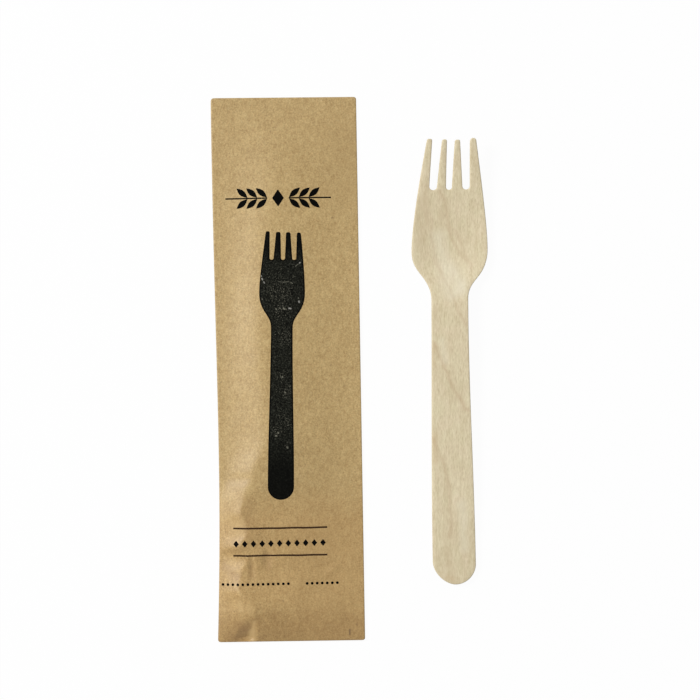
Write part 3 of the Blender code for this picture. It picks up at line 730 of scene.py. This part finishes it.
ink = {
    "thickness": 0.00003,
    "cell": 0.0006,
    "lean": radians(-1.2),
    "forkEnd": (-0.0030, -0.04655),
    "rulesAt": ((-0.0034, -0.0566), (-0.0035, -0.0664)),
    "ruleSize": (0.0336, 0.00062),
    "ruleLean": radians(-0.35),
    "ruleWander": 0.00012,
    "wanderPitch": 0.006,
    "sprigAt": (-0.0024, 0.0613),
    "sprigLength": 0.0378,
    "stemThickness": 0.0005,
    "leafSize": (0.0052, 0.0020),
    "leafPitch": 0.0035,
    "leafTurn": radians(41),
    "leafInset": 0.0001,        # keeps the first leaves' stalks off the stem's corners
    "centreLozenge": (0.0042, 0.0062),
    "lozengesAt": (-0.0037, -0.0621),
    "lozengeSize": (0.0020, 0.0025),
    "lozengePitch": 0.0031,
    "lozengeRow": 0.0322,
    "dotsAt": ((-0.0125, -0.0766), (0.0113, -0.0766)),
    "dotRows": (0.0245, 0.0125),
    "dotRadius": 0.0005,
    "dotPitch": 0.0018,
    "wornAt": ((-0.0018, 0.0221, 0.0070), (-0.0018, 0.0280, 0.0080), (-0.0010, 0.0120, 0.0060),
               (-0.0016, -0.0029, 0.0040), (-0.0006, -0.0075, 0.0046), (-0.0006, -0.0183, 0.0050),
               (-0.0040, -0.0220, 0.0046), (-0.0004, -0.0275, 0.0036)),
    "rimWidth": 0.0006,
    "tipShift": 0.0003,         # the tines sit a little to the right of the handle's line
    "shiftFrom": 0.0740,
}

printedFork = dict(
    fork, length=0.0959, handleWidth=0.0093, neckWidth=0.0077, neckStart=0.0345, headWidth=0.0163,
    widestAt=0.0219, tipSpan=0.0124, slotDepth=0.0102,
    slotRoots=(0.0014,) * 3, slotMouths=(0.0023, 0.0020, 0.0023),
    rootCentres=(0.0041, 0.0001, -0.0040), mouthCentres=(0.0037, 0.0, -0.0037),
    tines=((0.0004, 0.0006), (0.0003, 0.0006), (0.0002, 0.0006), (0.0, 0.0006)),
    shoulderPulls=(0.40, 0.58), endPoint=1.0)


inkTones = {
    "bare": (0.52, 0.5, 0.45, 1),
    "thin": (0.31, 0.3, 0.23, 1),
}

# Places where the ink has come off as (start, end, width, strength, tone), in the scene's frame
inkMarks = [
    ((-0.0313, 0.0335), (-0.0313, 0.0333), 0.0003, 0.6, "bare"),
    ((-0.0311, 0.0325), (-0.0309, 0.0321), 0.0003, 0.9, "bare"),
    ((-0.0304, 0.0313), (-0.0302, 0.0309), 0.0003, 0.6, "bare"),
    ((-0.0191, 0.0369), (-0.0182, 0.0377), 0.0002, 0.5, "thin"),
    ((-0.0177, 0.0381), (-0.0175, 0.0382), 0.0003, 0.9, "bare"),
    ((-0.0251, 0.0314), (-0.0243, 0.0313), 0.0002, 0.4, "thin"),
    ((-0.0236, 0.0312), (-0.0215, 0.0314), 0.0002, 0.5, "thin"),
    ((-0.0208, 0.0312), (-0.0202, 0.0307), 0.0002, 0.6, "thin"),
    ((-0.0261, 0.0218), (-0.0259, 0.0214), 0.0003, 0.6, "thin"),
    ((-0.0248, 0.0220), (-0.0246, 0.0218), 0.0003, 0.5, "thin"),
    ((-0.0234, 0.0219), (-0.0231, 0.0216), 0.0004, 0.8, "thin"),
    ((-0.0214, 0.0219), (-0.0208, 0.0218), 0.0004, 0.8, "bare"),
    ((-0.0179, 0.0244), (-0.0178, 0.0241), 0.0004, 0.8, "bare"),
    ((-0.0181, 0.0256), (-0.0180, 0.0255), 0.0003, 0.6, "thin"),
    ((-0.0310, 0.0252), (-0.0309, 0.0251), 0.0003, 0.5, "thin"),
    ((-0.0238, -0.0026), (-0.0237, -0.0027), 0.0004, 0.6, "thin"),
    ((-0.0229, -0.0080), (-0.0227, -0.0083), 0.0003, 0.6, "thin"),
    ((-0.0253, -0.0225), (-0.0252, -0.0226), 0.0004, 0.8, "thin"),
    ((-0.0261, -0.0236), (-0.0259, -0.0236), 0.0004, 0.8, "thin"),
    ((-0.0221, -0.0276), (-0.0219, -0.0279), 0.0005, 0.5, "thin"),
]


def placed(points, centre, turn=0.0):
    return [(centre[0] + x * cos(turn) - y * sin(turn), centre[1] + x * sin(turn) + y * cos(turn))
            for x, y in points]


def bar(centre, length, thickness, turn=0.0):
    x, y = length / 2, thickness / 2
    return placed([(-x, -y), (x, -y), (x, y), (-x, y)], centre, turn)


def lozenge(centre, size):
    x, y = size[0] / 2, size[1] / 2
    return placed([(x, 0), (0, y), (-x, 0), (0, -y)], centre)


def dot(centre):
    angles = [pi * i / 8 for i in range(16)]
    return placed([(ink["dotRadius"] * cos(a), ink["dotRadius"] * sin(a)) for a in angles], centre)


def leaf(stalk, turn):
    length, width = ink["leafSize"]
    along = [i / 10 for i in range(11)]
    under = [(length * t, -width / 2 * sin(pi * t)) for t in along]
    over = [(length * t, width / 2 * sin(pi * t)) for t in reversed(along[1:-1])]
    return placed(under + over, stalk, turn)


def sprig():     # a lozenge between two leafy stems
    start = (ink["centreLozenge"][0] + ink["leafPitch"]) / 2
    stem = ink["sprigLength"] / 2 - start
    leaves = int((stem - ink["leafSize"][0]) / ink["leafPitch"]) + 1
    middleX, middleY = ink["sprigAt"]
    shapes = [lozenge(ink["sprigAt"], ink["centreLozenge"])]
    for side in (-1, 1):
        shapes.append(bar((middleX + side * (start + stem / 2), middleY), stem, ink["stemThickness"]))
        for i in range(leaves):
            for rise in (-1, 1):
                stalk = (middleX + side * (start + ink["leafInset"] + i * ink["leafPitch"]),
                         middleY + rise * ink["stemThickness"] / 2)
                facing = pi if side < 0 else 0.0
                shapes.append(leaf(stalk, facing + side * rise * ink["leafTurn"]))
    return shapes


def rowPlaces(centre, length, pitch):
    count = int(length / pitch) + 1
    return [(centre[0] + (i - (count - 1) / 2) * pitch, centre[1]) for i in range(count)]


def blackInk():
    made, tree, shader = newMaterial("blackInk")
    flat = objectPlaces(tree)
    grain = noiseField(tree, flat, 2600, 2.0, 0.7)
    weave = noiseField(tree, objectPlaces(tree, (1, 1, 1), radians(35)), 1500, 2.0, 0.6)
    down = addNode(tree, "ShaderNodeSeparateXYZ", {0: flat}).outputs["Y"]
    black = mixed(tree, stretched(tree, grain, 0.42, 0.66),
                  (0.0005, 0.0005, 0.0003, 1), (0.028, 0.029, 0.021, 1))
    black = mixed(tree, stretched(tree, weave, 0.54, 0.72, 0.0, 0.7), black, (0.052, 0.054, 0.042, 1))
    wear = addNode(tree, "ShaderNodeAttribute", attribute_name="wear").outputs["Fac"]
    worn = mathOf(tree, "ADD", grain, mathOf(tree, "MULTIPLY", wear, 0.11))
    black = mixed(tree, stretched(tree, worn, 0.66, 0.76, 0.0, 0.75), black, (0.22, 0.21, 0.16, 1))
    rim = addNode(tree, "ShaderNodeAttribute", attribute_name="rim").outputs["Fac"]
    black = mixed(tree, stretched(tree, rim, 0.05, 0.40), black, (0.0004, 0.0004, 0.0003, 1))
    dense = mathOf(tree, "MAXIMUM", stretched(tree, down, -0.022, -0.036, 0.0, 0.8),
                   stretched(tree, down, 0.038, 0.044, 0.0, 0.85))     # the ink lies thicker at both ends
    black = mixed(tree, dense, black, (0.0008, 0.0008, 0.0005, 1))
    for start, end, width, strength, kind in inkMarks:
        share = mathOf(tree, "MULTIPLY", streaked(tree, flat, start, end, width), strength)
        black = mixed(tree, share, black, inkTones[kind])
    tree.links.new(black, shader.inputs["Base Color"])
    shader.inputs["Roughness"].default_value = 0.65
    shader.inputs["Specular IOR Level"].default_value = 0.04
    tree.links.new(bumped(tree, grain, 0.00004, 0.5), shader.inputs["Normal"])
    return made


def brownInk():
    made, tree, shader = newMaterial("brownInk")
    grain = noiseField(tree, objectPlaces(tree), 1800, 2.0, 0.6)
    brown = mixed(tree, grain, (0.012, 0.004, 0.001, 1), (0.056, 0.025, 0.008, 1))
    tree.links.new(brown, shader.inputs["Base Color"])
    shader.inputs["Roughness"].default_value = 0.7
    shader.inputs["Specular IOR Level"].default_value = 0.15
    tree.links.new(bumped(tree, grain, 0.00003, 0.5), shader.inputs["Normal"])
    return made


def buildPrint(name, outlines, material, rimWidth=0.0, wander=0.0):     # laid on the front
    bm = bmesh.new()
    for outline in outlines:
        bm.faces.new([bm.verts.new((x, y, 0)) for x, y in outline])
    bmesh.ops.recalc_face_normals(bm, faces=bm.faces)
    rim = bm.verts.layers.float.new("rim")
    wear = bm.verts.layers.float.new("wear")
    for vert in bm.verts:
        vert[rim] = 1.0
    if rimWidth:
        bmesh.ops.inset_region(
            bm, faces=bm.faces[:], thickness=rimWidth, use_boundary=True, use_even_offset=True)
        for vert in bm.verts:
            vert[rim] = float(vert.is_boundary)
    for axis, direction in ((0, (1, 0, 0)), (1, (0, 1, 0))):
        low = min(v.co[axis] for v in bm.verts)
        high = max(v.co[axis] for v in bm.verts)
        first, last = int(low / ink["cell"]) - 1, int(high / ink["cell"]) + 1
        cutAcross(bm, direction, [ink["cell"] * i for i in range(first, last + 1)])
    bmesh.ops.triangulate(bm, faces=bm.faces, quad_method="BEAUTY", ngon_method="BEAUTY")
    for vert in bm.verts:
        for x, y, reach in ink["wornAt"]:
            vert[wear] = max(vert[wear], 1 - hypot(vert.co.x - x, vert.co.y - y) / reach)
    raised = bmesh.ops.extrude_face_region(bm, geom=bm.faces[:])["geom"]
    for vert in bm.verts:
        vert.co.y += wander * noise.noise(vert.co / ink["wanderPitch"])
        vert.co.z = frontHeight(vert.co.x, vert.co.y) - ink["thickness"]
    for vert in [g for g in raised if isinstance(g, bmesh.types.BMVert)]:
        vert.co.z += 2 * ink["thickness"]
    bmesh.ops.recalc_face_normals(bm, faces=bm.faces)
    bmesh.ops.transform(bm, matrix=sleeveMatrix, verts=bm.verts)
    addPiece(name, bm, material)


black = blackInk()
printedOutline = [
    (x + ink["tipShift"] * eased((y - ink["shiftFrom"]) / (printedFork["length"] - ink["shiftFrom"])), y)
    for x, y in forkOutline(printedFork, 14, 5)]
buildPrint("printedFork", [placed(printedOutline, ink["forkEnd"], ink["lean"])], black,
           rimWidth=ink["rimWidth"])
buildPrint("printedSprig", sprig(), black)
buildPrint("printedRules", [bar(place, *ink["ruleSize"], ink["ruleLean"]) for place in ink["rulesAt"]],
           brownInk(), wander=ink["ruleWander"])
buildPrint("printedLozenges", [
    lozenge(place, ink["lozengeSize"])
    for place in rowPlaces(ink["lozengesAt"], ink["lozengeRow"], ink["lozengePitch"])], black)
buildPrint("printedDots", [
    dot(place) for centre, length in zip(ink["dotsAt"], ink["dotRows"])
    for place in rowPlaces(centre, length, ink["dotPitch"])], black)
print("front printed")


# Camera, floor and light

studio = {
    "pixelsPerMetre": 2790,
    "imageWidth": 700,
    "cameraHeight": 0.9,
    "lookAt": (0.00035, 0.0070),
    "sensor": 36.0,
    "floorSize": 4.0,
    "keyFrom": (-1.35, 0.65, 1.25),
    "keyWidth": 0.60,
    "keyWatts": 27.5,
    "ambient": 0.40,
    "tableDrop": 0.00005,            # keeps the table clear of the pieces' undersides
    "tableColour": (0.93, 0.93, 0.93, 1),
    "tableRoughness": 0.9,
    "tableGlow": 0.96,               # share of plain white that the camera sees
}


def raysThatShowWhite(tree):
    path = addNode(tree, "ShaderNodeLightPath")
    seenRays = mathOf(tree, "MAXIMUM", path.outputs["Is Camera Ray"], path.outputs["Is Glossy Ray"])
    return mathOf(tree, "MAXIMUM", seenRays, path.outputs["Is Transmission Ray"])


def buildStudio():
    scene = bpy.context.scene
    camera = bpy.data.objects.new("camera", bpy.data.cameras.new("camera"))
    camera.location = (*studio["lookAt"], studio["cameraHeight"])
    camera.data.sensor_width = studio["sensor"]
    seen = studio["imageWidth"] / studio["pixelsPerMetre"]
    camera.data.lens = studio["sensor"] * studio["cameraHeight"] / seen
    scene.collection.objects.link(camera)
    scene.camera = camera

    light = bpy.data.lights.new("windowLight", "AREA")
    light.energy = studio["keyWatts"]
    light.size = studio["keyWidth"]
    key = bpy.data.objects.new("windowLight", light)
    key.location = studio["keyFrom"]
    key.rotation_euler = Vector(studio["keyFrom"]).to_track_quat("Z", "Y").to_euler()
    scene.collection.objects.link(key)

    world = bpy.data.worlds.new("paleRoom")
    scene.world = world
    world.use_nodes = True
    tree = world.node_tree
    background = tree.nodes["Background"]
    background.inputs["Color"].default_value = (1, 1, 1, 1)
    seenRays = raysThatShowWhite(tree)
    tree.links.new(stretched(tree, seenRays, 0, 1, studio["ambient"], 1.0), background.inputs["Strength"])

    bm = bmesh.new()
    bmesh.ops.create_grid(bm, x_segments=1, y_segments=1, size=studio["floorSize"] / 2)
    bmesh.ops.translate(bm, verts=bm.verts, vec=(0, 0, -studio["tableDrop"]))
    mesh = bpy.data.meshes.new("table")
    bm.to_mesh(mesh)
    bm.free()
    made, tree, shader = newMaterial("whiteTable")
    shader.inputs["Base Color"].default_value = studio["tableColour"]
    shader.inputs["Roughness"].default_value = studio["tableRoughness"]
    seenRays = raysThatShowWhite(tree)
    glow = addNode(tree, "ShaderNodeEmission", {"Color": (1, 1, 1, 1), "Strength": 1.0})
    blend = addNode(tree, "ShaderNodeMixShader", {
        0: stretched(tree, seenRays, 0, 1, 0.0, studio["tableGlow"]), 1: shader.outputs["BSDF"],
        2: glow.outputs["Emission"]})
    tree.links.new(blend.outputs["Shader"], tree.nodes["Material Output"].inputs["Surface"])
    mesh.materials.append(made)
    table = bpy.data.objects.new("table", mesh)
    scene.collection.objects.link(table)
    scene.view_settings.view_transform = "Standard"


buildStudio()
print("studio set")
